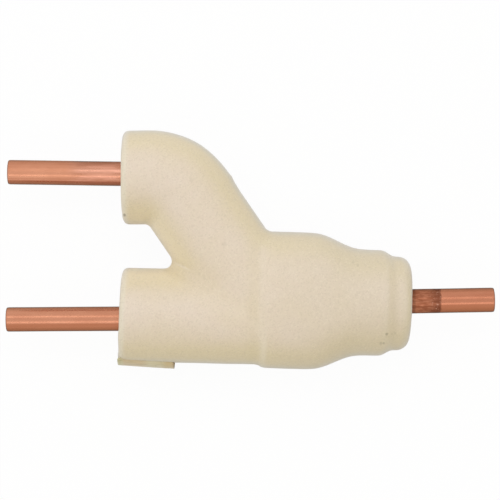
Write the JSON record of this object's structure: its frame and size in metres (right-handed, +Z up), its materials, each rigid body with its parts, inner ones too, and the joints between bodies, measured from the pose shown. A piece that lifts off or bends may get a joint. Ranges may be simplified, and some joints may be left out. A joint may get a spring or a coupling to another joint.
{
  "type": "insulated pipe y-joint",
  "caption": "Copper Y-joint that splits one refrigerant pipe into two side by side, inside a moulded foam cover in two halves.",
  "frame": {"origin": "on the surface it lies on, under the middle of the whole part", "axes": "+X along the inlet pipe and out of it, +Y from the run pipe towards the branch pipe, +Z up, across the parting plane of the cover"},
  "size_m": [0.2534, 0.1241, 0.055],
  "materials": {
    "foam": "moulded cream foam skin with a fine closed-cell grain",
    "copper": "drawn copper pipe, slightly dulled, with fine lengthwise streaks and a heat tint by the inlet braze",
    "braze": "solidified braze alloy, dull",
    "tape": "glossy cream film tape"
  },
  "bodies": {
    "root": {"insulation_upper_half": "foam", "insulation_lower_half": "foam", "branch_body": "copper", "inlet_pipe": "copper", "run_pipe": "copper", "branch_pipe": "copper", "braze_inlet": "braze", "braze_run": "braze", "braze_branch": "braze", "closing_tape": "tape"}
  },
  "joints": []
}
